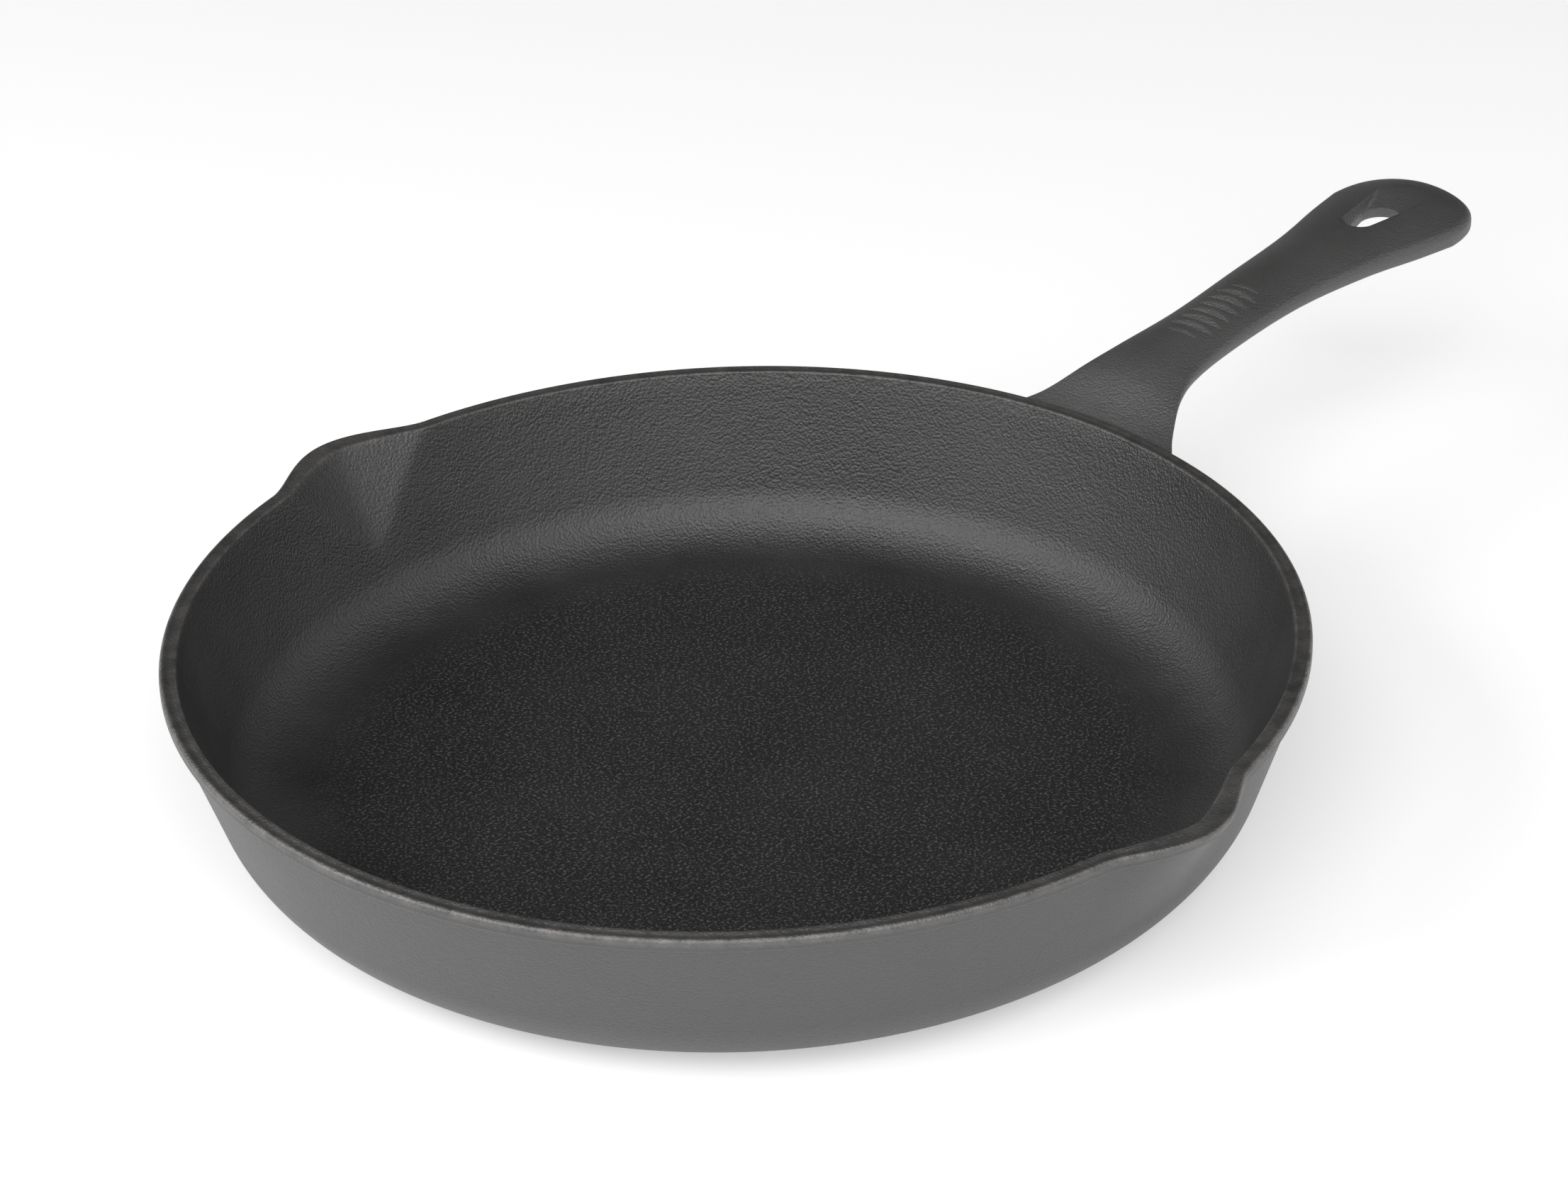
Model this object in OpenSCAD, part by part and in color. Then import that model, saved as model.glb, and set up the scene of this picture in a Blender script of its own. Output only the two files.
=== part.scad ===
// Cast iron skillet: flared pan with two pouring spouts and one handle with a hanging eye.
// Millimetres. The origin is the centre of the underside, +X runs out along the handle, +Z is up.
// The real pan is one casting. Each module below is one section of it, and the sections meet
// face to face.

/* [Pan] */
// Radius of the pan over the rim, spouts not counted
rim_r = 140; // [125:1:155]
// Height of the rim above the table
pan_h = 47; // [42:0.5:55]
// Angle of the wall away from upright
flare_angle = 18.4; // [12:0.2:24]
// Radius of the curve between the underside and the wall
foot_round = 23.5; // [16:0.5:25]
// Thickness of the cooking floor
floor_t = 4.6; // [3.5:0.1:6]
// Thickness of the wall, measured level
wall_t = 4.2; // [3.5:0.1:5]

/* [Rim] */
// Width of the flat land on top of the rim
rim_land = 4.4; // [4:0.1:6]
// Depth of the thickened lip
rim_depth = 3.6; // [3:0.1:5]
// How far the lip stands out over the wall
rim_overhang = 1.3; // [0.8:0.1:2]

/* [Spouts] */
// How far each spout reaches out past the rim
spout_reach = 8.4; // [5:0.1:10]
// How far the pouring notch cuts out past the rim's inner edge
notch_reach = 6.6; // [4:0.1:7]
// Half of the angle that a spout takes up on the rim
spout_half_angle = 11; // [9:0.5:15]

/* [Handle] */
// Distance from the pan's centre to the tip of the handle
handle_tip_x = 287.5; // [270:0.5:310]
// Width of the handle at its neck
neck_w = 23.4; // [20:0.2:28]
// Width of the handle where its end is widest
end_w = 41.6; // [36:0.2:48]
// Height of the handle's crown above the rim
handle_rise = 15.2; // [10:0.2:18]
// Depth of the flat side band at the neck
neck_band = 2.5; // [2:0.1:3.5]
// Depth of the flat side band at the end
end_band = 4.6; // [3:0.1:5]

/* [Thumb grooves] */
// Number of thumb grooves across the handle
groove_count = 8; // [4:1:9]
// Distance from one groove to the next
groove_pitch = 3.9; // [3.7:0.1:4.4]
// Depth of the middle grooves at the crown
groove_depth = 1.1; // [0.6:0.1:1.2]
// Fall of a groove's long face, per millimetre along the handle
groove_slope = 0.5; // [0.45:0.05:0.7]

/* [Hanging eye] */
// Radius of the wide end of the teardrop hole
eye_r = 5.6; // [5:0.1:6]
// Radius of the narrow end of the teardrop hole
eye_tail_r = 3.2; // [2.6:0.1:3.4]
// Distance between the centres of the two ends
eye_len = 9.6; // [9:0.1:10.4]
// Radius of the rolled mouth on the top face, at its wide end
mouth_r = 7.8; // [7.2:0.1:8.4]
// How much further the mouth's wide end lies towards the tip than the hole's
mouth_shift = 9.8; // [6:0.2:10]

/* [Hidden] */

iron = [0.2, 0.2, 0.21];
rim_iron = [0.27, 0.27, 0.28];
round_fn = 180;
reach = 400;
past = 1;

// The wall is a straight cone under the lip
rim_z = pan_h - rim_depth;
flare = tan(flare_angle);
function outer_r(z) = rim_r - rim_overhang - flare * (rim_z - z);
function inner_r(z) = outer_r(z) - wall_t;

// Underside and floor turn up into the wall on arcs with one centre height
turn_angle = 90 - flare_angle;
flat_r = outer_r(0) - foot_round * tan(turn_angle / 2);
fillet_r = foot_round - floor_t;
fillet_top = floor_t + fillet_r * (1 - cos(turn_angle));
fillet_x = inner_r(fillet_top) - fillet_r * sin(turn_angle);
foot_steps = 12;

// Rim section, outside then inside
rim_in = rim_r - rim_land;
lip_round = 1.2;
lip_start = -60;
lip_steps = 4;
inner_round = 0.6;
inner_steps = 2;

// A spout bulges in a bell across its angle, 1 in the middle and 0 at both ends, and fades out
// down the wall
outer_bell = 0.8;
outer_fade = 1.5;
function bell(t) = abs(t) >= 1 ? 0 : pow((1 + cos(180 * t)) / 2, outer_bell);
function fade(z) = max(0, (z - fillet_top) / (pan_h - fillet_top));
function bulge(t, z) = spout_reach * bell(t) * pow(fade(z), outer_fade);

// Its notch is a V with straight flanks that narrows to a point, a little above the floor's curve
notch_spread = 0.8;
notch_tip = 0.15;
notch_z = fillet_top + 6;
function notch_flank(t) = sqrt(pow(t / notch_spread, 2) + pow(notch_tip, 2)) - notch_tip;
function notch(t, z) = notch_reach * max(0, (z - notch_z) / (pan_h - notch_z) - notch_flank(t));
spout_steps = 24;
wall_steps = 7;

// Points around an arc
function arc(cx, cz, r, a0, a1, steps) =
    [for (i = [0:steps]) let (a = a0 + (a1 - a0) * i / steps) [cx + r * cos(a), cz + r * sin(a)]];

// Section of the rim above the wall
function rim_outer() = concat(
    [[outer_r(rim_z), rim_z]],
    arc(rim_r - lip_round, rim_z + lip_round, lip_round, lip_start, 0, lip_steps),
    arc(rim_r - lip_round, pan_h - lip_round, lip_round, 0, 90, lip_steps));
function rim_inner() = concat(
    arc(rim_in + inner_round, pan_h - inner_round, inner_round, 90, 180, inner_steps),
    [[inner_r(rim_z), rim_z]]);

// Smooth curve through the rows of a table; column 0 is the position
function row_at(t, x, i = 0) = i >= len(t) - 2 || x < t[i + 1][0] ? i : row_at(t, x, i + 1);
function slope_at(t, i, c) =
    let (a = max(0, i - 1), b = min(len(t) - 1, i + 1)) (t[b][c] - t[a][c]) / (t[b][0] - t[a][0]);
function curve(t, x, c) =
    let (i = row_at(t, x), h = t[i + 1][0] - t[i][0], s = (x - t[i][0]) / h,
         m0 = slope_at(t, i, c) * h, m1 = slope_at(t, i + 1, c) * h)
    (2 * pow(s, 3) - 3 * pow(s, 2) + 1) * t[i][c] + (pow(s, 3) - 2 * s * s + s) * m0
    + (3 * s * s - 2 * pow(s, 3)) * t[i + 1][c] + (pow(s, 3) - s * s) * m1;

// Handle lengthwise, as fractions: 0 is the rim and 1 is where the end is widest
tip_len = 19.3;
handle_wide_x = handle_tip_x - tip_len;
function station_x(s) = rim_r + s * (handle_wide_x - rim_r);
function station_s(x) = (min(x, handle_wide_x) - rim_r) / (handle_wide_x - rim_r);

// Columns: station, half width (0 neck, 1 end), crown height above the rim (1 = handle_rise),
// drop from the crown to the side band, depth of the band (0 neck, 1 end), belly below the band
// (a minus sign is a hollow, which keeps the wide end as thin as its side band)
HANDLE = [
    [-0.12, 2.35, -0.26, 0.5, -1.05, 16.0],
    [-0.02, 1.60, -0.12, 0.6, -0.95, 12.5],
    [ 0.03, 1.08,  0.06, 0.9, -0.80, 10.5],
    [ 0.11, 0.48,  0.47, 1.8, -0.45,  6.5],
    [ 0.19, 0.18,  0.69, 2.6, -0.20,  3.8],
    [ 0.35, 0.00,  0.85, 3.3,  0.00,  1.8],
    [ 0.55, 0.08,  0.99, 3.5,  0.15,  0.4],
    [ 0.75, 0.37,  1.04, 3.9,  0.45, -1.2],
    [ 0.90, 0.78,  1.07, 4.2,  0.80, -2.2],
    [ 1.00, 1.00,  1.08, 4.3,  1.00, -2.6]];
dome_power = 1.6;

// Towards the tip the section shrinks along an oval that ends in a narrow flat
tip_sweep = 87;
tip_power = 0.55;
function tip_share(x) = max(0, min(1, (x - handle_wide_x) / tip_len)) * sin(tip_sweep);
function shrink(x) = pow(1 - pow(tip_share(x), 2), tip_power / 2);

// The handle's section at x: side edges at edge_z, a dome above, a flat band and a belly below
function half_w(x) = shrink(x) * (neck_w + (end_w - neck_w) * curve(HANDLE, station_s(x), 1)) / 2;
function edge_z(x) =
    pan_h + handle_rise * curve(HANDLE, station_s(x), 2) - curve(HANDLE, station_s(x), 3);
function dome(x) = shrink(x) * curve(HANDLE, station_s(x), 3);
function band(x) = neck_band + (end_band - neck_band) * curve(HANDLE, station_s(x), 4);
function belly(x) = shrink(x) * curve(HANDLE, station_s(x), 5);
function swell(x, y) = pow(max(0, 1 - pow(y / half_w(x), 2)), dome_power / 2);
function top_z(x, y) = edge_z(x) + dome(x) * swell(x, y);
function under_z(x, y) = edge_z(x) - band(x) - belly(x) * swell(x, y);

// Where one handle section ends and the next begins
start_x = station_x(-0.12);
root_x = station_x(0.19);
eye_x0 = station_x(0.8);

// One closed ring of the section: over the top, no higher than the roof, then back underneath
top_steps = 20;
under_steps = 10;
function across(x, i, steps) = half_w(x) * cos(180 * i / steps);
function ring_at(x, roof = reach) = concat(
    [for (i = [0:top_steps]) let (y = across(x, i, top_steps)) [x, y, min(top_z(x, y), roof)]],
    [for (i = [0:under_steps]) let (y = -across(x, i, under_steps)) [x, y, under_z(x, y)]]);
function spread(from, to, steps) = [for (i = [0:steps]) from + (to - from) * i / steps];

// A solid through a list of rings with equal numbers of points. It has end caps, or the last
// ring joins the first
module loft(rings, closed = false) {
    n = len(rings[0]);
    m = len(rings);
    spans = closed ? m : m - 1;
    points = [for (r = rings) for (p = r) p];
    sides = [for (k = [0:spans - 1]) for (i = [0:n - 1])
        let (j = (i + 1) % n, next = (k + 1) % m,
             a = k * n + i, b = k * n + j, c = next * n + j, d = next * n + i)
        each [[a, c, b], [a, d, c]]];
    near_cap = [for (i = [0:n - 1]) i];
    far_cap = [for (i = [n - 1:-1:0]) (m - 1) * n + i];
    polyhedron(points, closed ? sides : concat(sides, [near_cap, far_cap]), convexity = 6);
}

// A wedge from the pan's axis outward, used to cut the spouts' places from the wall and rim
module spout_sectors() {
    side = reach * tan(spout_half_angle);
    for (turn = [0, 180])
        rotate([0, 0, turn])
            translate([0, 0, -past])
                linear_extrude(pan_h + 2 * past)
                    polygon([[0, 0], [side, reach], [-side, reach]]);
}

// One half of a ring: the half towards +X or towards -X, with the spouts' places cut out
module half_ring(towards_handle) {
    turn = towards_handle ? 0 : 180;
    difference() {
        children();
        spout_sectors();
        rotate([0, 0, turn])
            translate([-reach, -reach, -past])
                cube([reach, 2 * reach, pan_h + 2 * past]);
    }
}

module wall_ring() {
    rotate_extrude($fn = round_fn)
        polygon([
            [inner_r(fillet_top), fillet_top],
            [outer_r(fillet_top), fillet_top],
            [outer_r(rim_z), rim_z],
            [inner_r(rim_z), rim_z]]);
}

module rim_ring() {
    rotate_extrude($fn = round_fn)
        polygon(concat(rim_outer(), rim_inner()));
}

// Outline of the underside and the foot curve, from the axis up to a height on the wall
function outside_up_to(z) = concat(
    [[0, 0]],
    arc(flat_r, foot_round, foot_round, -90, -flare_angle, foot_steps),
    [[outer_r(z), z]]);

// The whole outside of the pan, filled solid, that the handle root is fitted against
module pan_outside() {
    rotate_extrude($fn = round_fn)
        polygon(concat(outside_up_to(fillet_top), rim_outer(), [[0, pan_h]]));
}

module cooking_floor() {
    color(iron)
        rotate_extrude($fn = round_fn)
            polygon(concat(
                outside_up_to(fillet_top),
                arc(fillet_x, floor_t + fillet_r, fillet_r, -flare_angle, -90, foot_steps),
                [[0, floor_t]]));
}

module handle_side_wall() {
    color(iron) half_ring(true) wall_ring();
}

module far_side_wall() {
    color(iron) half_ring(false) wall_ring();
}

module handle_side_rim() {
    color(rim_iron) half_ring(true) rim_ring();
}

module far_side_rim() {
    color(rim_iron) half_ring(false) rim_ring();
}

// Section of the wall and rim at one angle across a spout, pushed out by the spout's outline
function spout_section(t) = concat(
    [for (i = [0:wall_steps]) let (z = fillet_top + (rim_z - fillet_top) * i / wall_steps)
        [outer_r(z) + bulge(t, z), z]],
    [for (p = rim_outer()) if (p[1] > rim_z) [p[0] + bulge(t, p[1]), p[1]]],
    [for (p = rim_inner()) if (p[1] > rim_z) [p[0] + notch(t, p[1]), p[1]]],
    [for (i = [wall_steps:-1:0]) let (z = fillet_top + (rim_z - fillet_top) * i / wall_steps)
        [inner_r(z) + notch(t, z), z]]);

// A spout centred on +Y
module spout() {
    rings = [for (i = [0:spout_steps])
        let (t = 2 * i / spout_steps - 1, a = 90 - t * spout_half_angle)
        [for (p = spout_section(t)) [p[0] * cos(a), p[0] * sin(a), p[1]]]];
    loft(rings);
}

module left_spout() {
    color(iron) spout();
}

module right_spout() {
    color(iron) rotate([0, 0, 180]) spout();
}

module handle_root() {
    color(iron)
        difference() {
            loft([for (x = spread(start_x, root_x, 16)) ring_at(x)]);
            pan_outside();
        }
}

// Thumb grooves across the crown: a short steep face on the pan's side and a long one behind it.
// The first and the last are shallower
groove_first_x = station_x(0.269);
groove_steep = 1.9;
end_groove_share = 0.5;
function groove_x(k) = groove_first_x + k * groove_pitch;
function groove_fall(k) = groove_depth * (k == 0 || k == groove_count - 1 ? end_groove_share : 1);
function groove_start(k) = groove_x(k) - groove_fall(k) / groove_steep;
function groove_end(k) = groove_x(k) + groove_fall(k) / groove_slope;
function groove_lift(u) = u < 0 ? -u * groove_steep : u * groove_slope;
function groove_roof(x) =
    top_z(x, 0) + min([for (k = [0:groove_count - 1]) groove_lift(x - groove_x(k)) - groove_fall(k)]);

// Stations of one groove: where it starts, its bottom, two up the long face and where it ends
function groove_stations(k) = [groove_start(k), each spread(groove_x(k), groove_end(k), 3)];

module handle_grip() {
    // Length left plain beside the grooves before the next station
    gap = 0.7;
    grooved = [for (k = [0:groove_count - 1]) each groove_stations(k)];
    color(iron)
        loft(concat(
            [for (x = spread(root_x, groove_start(0) - gap, 3)) ring_at(x)],
            [for (x = grooved) ring_at(x, groove_roof(x))],
            [for (x = spread(groove_end(groove_count - 1) + gap, eye_x0, 10)) ring_at(x)]));
}

// The hanging hole and its mouth are teardrops: [centre of the wide end, its radius, radius of the
// narrow end, distance between the centres]. The mouth runs further out towards the tip
eye_x = handle_tip_x - 24.5;
mouth_margin = 1.7;
mouth_back = 0.5;
HOLE = [eye_x, eye_r, eye_tail_r, eye_len];
MOUTH = [eye_x + mouth_shift, mouth_r, eye_tail_r + mouth_margin, eye_len + mouth_shift + mouth_back];
function lean(h) = asin((h[1] - h[2]) / h[3]);

// Places on a teardrop: the narrow arc and the wide arc by a turn from -1 to 1, and the flank
// on the right by its share. Each place is [x, y, direction away from the hole]
function narrow_at(h, turn) = let (a = 180 + turn * (90 - lean(h)))
    [h[0] - h[3] + h[2] * cos(a), h[2] * sin(a), a];
function wide_at(h, turn) = let (a = turn * (90 + lean(h)))
    [h[0] + h[1] * cos(a), h[1] * sin(a), a];
function between(p, q, share) = p + (q - p) * share;
function flank_at(h, share) = let (p = narrow_at(h, 1), q = wide_at(h, -1))
    [between(p[0], q[0], share), between(p[1], q[1], share), q[2]];
function flip(p) = [p[0], -p[1], -p[2]];

// Columns around the hole, seen from above against the clock: the cut face, the right side, the
// tip and the left side. A column is [place on the hole, place on the mouth, place on the outline]
side_steps = 6;
turn_left = 0.2;
tip_from = 6;
tip_to = 78;
end_shares = [-0.9, -0.3, 0.3, 0.9];
cut_columns = [for (i = [0:under_steps - 1]) let (turn = 2 * i / under_steps - 1)
    [narrow_at(HOLE, turn), narrow_at(MOUTH, turn), [eye_x0, across(eye_x0, i, under_steps)]]];
right_columns = [for (i = [0:side_steps])
    let (x = between(eye_x0, handle_wide_x, i / side_steps))
    [flank_at(HOLE, i / side_steps), flank_at(MOUTH, i / side_steps), [x, -half_w(x)]]];
tip_columns = [for (i = [1:side_steps])
    let (share = i / side_steps, turn = between(-1, -turn_left, share),
         x = handle_wide_x + tip_len * sin(between(tip_from, tip_to, share)))
    [wide_at(HOLE, turn), wide_at(MOUTH, turn), [x, -half_w(x)]]];
end_columns = [for (share = end_shares) let (turn = turn_left * share)
    [wide_at(HOLE, turn), wide_at(MOUTH, turn), [handle_tip_x, share * half_w(handle_tip_x)]]];
right_side = concat(right_columns, tip_columns);
left_side = [for (i = [len(right_side) - 1:-1:0]) let (c = right_side[i])
    [flip(c[0]), flip(c[1]), [c[2][0], -c[2][1]]]];

// One column's ring: up the wall of the hole, over the rolled mouth, out across the top, down the
// outside and back across the underside
roll_depth = 3.2;
roll_power = 1.3;
roll_steps = 4;
under_bevel = 0.6;
top_shares = [0.3, 0.6, 0.85];
under_shares = [0.85, 0.5];
function on_top(p, sink = 0) = [p[0], p[1], top_z(p[0], p[1]) - sink];
function on_under(p, rise = 0) = [p[0], p[1], under_z(p[0], p[1]) + rise];
function column(c) =
    let (hole = c[0], mouth = c[1], out = c[2],
         low = [hole[0] + under_bevel * cos(hole[2]), hole[1] + under_bevel * sin(hole[2])])
    concat(
        [on_under(low), on_under(hole, under_bevel)],
        [for (i = [0:roll_steps]) let (share = i / roll_steps)
            on_top(between(hole, mouth, share), roll_depth * pow(1 - share, roll_power))],
        [for (share = top_shares) on_top([for (k = [0:1]) between(mouth[k], out[k], share)])],
        [on_top(out), on_under(out)],
        [for (share = under_shares) on_under(between(low, out, share))]);

module handle_eye() {
    // The last place on the left is the first of the cut face
    left = [for (i = [0:len(left_side) - 2]) left_side[i]];
    color(iron)
        loft([for (c = concat(cut_columns, right_side, end_columns, left)) column(c)], closed = true);
}

cooking_floor();
handle_side_wall();
far_side_wall();
handle_side_rim();
far_side_rim();
left_spout();
right_spout();
handle_root();
handle_grip();
handle_eye();
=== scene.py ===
import math

import bpy
import numpy as np
from mathutils import Matrix, Vector
from mathutils.bvhtree import BVHTree


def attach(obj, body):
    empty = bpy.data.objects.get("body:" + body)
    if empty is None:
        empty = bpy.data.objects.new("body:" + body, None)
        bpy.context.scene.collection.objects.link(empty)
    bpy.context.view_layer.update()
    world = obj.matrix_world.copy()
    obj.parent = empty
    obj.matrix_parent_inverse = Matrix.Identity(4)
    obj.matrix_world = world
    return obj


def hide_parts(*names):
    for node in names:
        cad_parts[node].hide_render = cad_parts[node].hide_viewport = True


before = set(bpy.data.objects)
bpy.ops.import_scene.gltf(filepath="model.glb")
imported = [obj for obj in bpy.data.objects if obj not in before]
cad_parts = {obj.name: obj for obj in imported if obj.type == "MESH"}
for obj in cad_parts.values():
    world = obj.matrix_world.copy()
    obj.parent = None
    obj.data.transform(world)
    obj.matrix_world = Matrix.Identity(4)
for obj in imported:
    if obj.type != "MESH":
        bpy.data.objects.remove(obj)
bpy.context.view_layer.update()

# ---------------------------------------------------------------- dimensions, in millimetres
RIM_R = 140.0
PAN_H = 47.0
FLARE_DEG = 18.4
FLARE = math.tan(math.radians(FLARE_DEG))
FOOT_ROUND = 23.5
FLOOR_T = 4.6
WALL_T = 4.2
RIM_LAND = 4.4
RIM_Z = PAN_H - 3.6
RIM_OVERHANG = 1.3
LIP_ROUND = 1.2
INNER_ROUND = 0.6
SPOUT_REACH = 8.4
NOTCH_REACH = 6.6
SPOUT_HALF = 11.0
NOTCH_SPREAD = 0.8
NOTCH_TIP = 0.15
NOTCH_SOFT = 0.05
TIP_X = 287.45
WIDE_X = 268.2
NECK_W = 23.4
END_W = 41.6
HANDLE_RISE = 15.2
NECK_BAND = 2.5
END_BAND = 4.6
TOP_FILLET = 0.9
SIDE_FILLET = 3.2
FILLET_SEARCH = 6.0
METRE = 0.001

# How far the visual pieces stay inside the outer faces of the solids
SKIN = 0.05

# Sections of the pan round its axis, in degrees from the handle
HANDLE_SIDE = (-79, 79)
LEFT_SPOUT = (79, 101)
FAR_SIDE = (101, 259)
RIGHT_SPOUT = (259, 281)

# Teardrops of the hanging eye: centre of the wide end, its radius, radius of the narrow end,
# length between them
HOLE = (263.0, 5.6, 3.2, 9.6)
MOUTH = (272.8, 7.8, 4.9, 19.9)
ROLL_DOWN = 3.2
ROLL_POWER = 1.3
UNDER_ROUND = 0.7

# Rows and columns of points round the eye
WALL_ROWS = 10
ROLL_ROWS = 20
FLANK_STEPS = 40
TIP_STEPS = 44
END_STEPS = 9
TURN_LEFT = 0.2
SOFTEN_PASSES = 80

# Columns: station, half width, crown, drop to the side band, band, belly; as in the CAD
HANDLE = np.array([
    [-0.12, 2.35, -0.26, 0.5, -1.05, 16.0],
    [-0.02, 1.60, -0.12, 0.6, -0.95, 12.5],
    [0.03, 1.08, 0.06, 0.9, -0.80, 10.5],
    [0.11, 0.48, 0.47, 1.8, -0.45, 6.5],
    [0.19, 0.18, 0.69, 2.6, -0.20, 3.8],
    [0.35, 0.00, 0.85, 3.3, 0.00, 1.8],
    [0.55, 0.08, 0.99, 3.5, 0.15, 0.4],
    [0.75, 0.37, 1.04, 3.9, 0.45, -1.2],
    [0.90, 0.78, 1.07, 4.2, 0.80, -2.2],
    [1.00, 1.00, 1.08, 4.3, 1.00, -2.6],
])


def station_x(s):
    return RIM_R + s * (WIDE_X - RIM_R)


START_X = station_x(-0.12)
ROOT_X = station_x(0.19)
EYE_X0 = station_x(0.80)

# Thumb grooves: steep towards the pan, easy towards the tip, the first and last shallower
GROOVE_FIRST = station_x(0.269)
GROOVE_PITCH = 3.9
GROOVE_COUNT = 8
GROOVE_DEPTH = 1.1
GROOVE_STEEP = 1.9
GROOVE_EASE = 0.5
END_GROOVE_SHARE = 0.5


# ---------------------------------------------------------------- pan section
def outer_r(z):
    return RIM_R - RIM_OVERHANG - FLARE * (RIM_Z - z)


def inner_r(z):
    return outer_r(z) - WALL_T


TURN = 90.0 - FLARE_DEG
FLAT_R = outer_r(0.0) - FOOT_ROUND * math.tan(math.radians(TURN / 2))
FILLET_R = FOOT_ROUND - FLOOR_T
FILLET_TOP = FLOOR_T + FILLET_R * (1 - math.cos(math.radians(TURN)))
FILLET_X = inner_r(FILLET_TOP) - FILLET_R * math.sin(math.radians(TURN))
RIM_IN = RIM_R - RIM_LAND
NOTCH_Z = FILLET_TOP + 6.0


def fade(z):
    """0 at the top of the floor's curve, 1 at the rim."""
    return np.clip((z - FILLET_TOP) / (PAN_H - FILLET_TOP), 0, 1)


def bulge(t, z):
    """How far a spout stands out: a bell across its angle that fades down the wall."""
    inside = np.clip(np.abs(t), 0, 1)
    return SPOUT_REACH * ((1 + np.cos(np.pi * inside)) / 2) ** 0.8 * fade(z) ** 1.5


def notch(t, z):
    """How far a spout's V-shaped notch cuts out. It narrows to a point a little above the floor's
    curve, and its edges are softened."""
    high = (z - NOTCH_Z) / (PAN_H - NOTCH_Z)
    depth = high - (np.sqrt((t / NOTCH_SPREAD) ** 2 + NOTCH_TIP**2) - NOTCH_TIP)
    rounded = (depth + np.sqrt(depth**2 + NOTCH_SOFT**2)) / 2
    ends = np.clip((1 - np.abs(t)) * 8, 0, 1) * np.clip((z - FILLET_TOP) / 8, 0, 1)
    return NOTCH_REACH * rounded * ends


def arc(cx, cz, r, a0, a1, steps):
    a = np.radians(np.linspace(a0, a1, steps + 1))
    return np.stack([cx + r * np.cos(a), cz + r * np.sin(a)], 1)


def line(p, q, steps):
    t = np.linspace(0, 1, steps + 1)[:, None]
    return np.array(p, float) * (1 - t) + np.array(q, float) * t


def tagged(points, share):
    """Adds to each (r, z) how far it belongs to the inner face: 0 outside, 1 inside."""
    tag = np.full((len(points), 1), share) if np.isscalar(share) else np.array(share)[:, None]
    return np.hstack([points, tag])


def wall_outer(steps=44):
    return tagged(line((outer_r(FILLET_TOP), FILLET_TOP), (outer_r(RIM_Z), RIM_Z), steps), 0.0)


def wall_inner(steps=30):
    return tagged(line((inner_r(RIM_Z), RIM_Z), (inner_r(FILLET_TOP), FILLET_TOP), steps), 1.0)


def rim_outer():
    low = arc(RIM_R - LIP_ROUND, RIM_Z + LIP_ROUND, LIP_ROUND, -60, 0, 6)
    top = arc(RIM_R - LIP_ROUND, PAN_H - LIP_ROUND, LIP_ROUND, 0, 90, 12)
    start = line((outer_r(RIM_Z), RIM_Z), low[0], 2)[:-1]
    return tagged(np.vstack([start, low, top]), 0.0)


def rim_land(steps=12):
    """The land between the lip and the inner edge, with a faint raised line along the inner edge."""
    u = np.linspace(0, 1, steps + 1)[1:-1]
    r = (RIM_R - LIP_ROUND) * (1 - u) + (RIM_IN + INNER_ROUND) * u
    dip = 0.28 * np.sin(np.pi * np.clip(u / 0.92, 0, 1)) ** 1.3
    return np.stack([r, PAN_H - dip, u], 1)


def rim_inner():
    top = arc(RIM_IN + INNER_ROUND, PAN_H - INNER_ROUND, INNER_ROUND, 90, 180, 5)
    return tagged(np.vstack([top, line(top[-1], (inner_r(RIM_Z), RIM_Z), 5)[1:]]), 1.0)


def pan_points(section, theta):
    """Section points (r, z, share) turned to each angle, pushed out where there is a spout."""
    t = np.minimum(np.abs(theta - 90), np.abs(theta - 270)) / SPOUT_HALF
    r = section[:, 0][:, None]
    z = section[:, 1][:, None]
    share = section[:, 2][:, None]
    out = bulge(t[None], z)
    cut = notch(t[None], z)
    r = r + (out - SKIN) * (1 - share) + cut * share
    a = np.radians(theta)[None]
    return np.stack([r * np.cos(a), r * np.sin(a), z + 0 * r], 2)


def angles(lo, hi):
    """Angles from lo to hi in degrees: close together at the handle and the spouts."""
    beside_root = 24
    marks = [HANDLE_SIDE[0], -beside_root, beside_root, *LEFT_SPOUT, *RIGHT_SPOUT]
    steps = [40, 160, 40, 44, 120, 44]
    found = []
    for k, n in enumerate(steps):
        if marks[k] >= lo and marks[k + 1] <= hi:
            found.append(np.linspace(marks[k], marks[k + 1], n + 1)[:-1])
    return np.concatenate(found + [[hi]])


# ---------------------------------------------------------------- handle surface
def curve(x, column):
    """The table's column at x, on a smooth curve through its rows."""
    s = (x - RIM_R) / (WIDE_X - RIM_R)
    t = HANDLE[:, 0]
    v = HANDLE[:, column]
    slope = np.empty(len(t))
    slope[1:-1] = (v[2:] - v[:-2]) / (t[2:] - t[:-2])
    slope[0] = (v[1] - v[0]) / (t[1] - t[0])
    slope[-1] = (v[-1] - v[-2]) / (t[-1] - t[-2])
    i = np.clip(np.searchsorted(t, s, side="right") - 1, 0, len(t) - 2)
    h = t[i + 1] - t[i]
    u = (s - t[i]) / h
    return ((2 * u**3 - 3 * u**2 + 1) * v[i] + (u**3 - 2 * u**2 + u) * slope[i] * h
            + (3 * u**2 - 2 * u**3) * v[i + 1] + (u**3 - u**2) * slope[i + 1] * h)


def end_shrink(x):
    """1 along the handle, falling in an oval past the widest place to almost 0 at the tip."""
    reach = math.sin(math.radians(87))
    s = np.clip((x - WIDE_X) / (TIP_X - WIDE_X), 0, 1) * reach
    return np.sqrt(1 - s**2) ** 0.55


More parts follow.
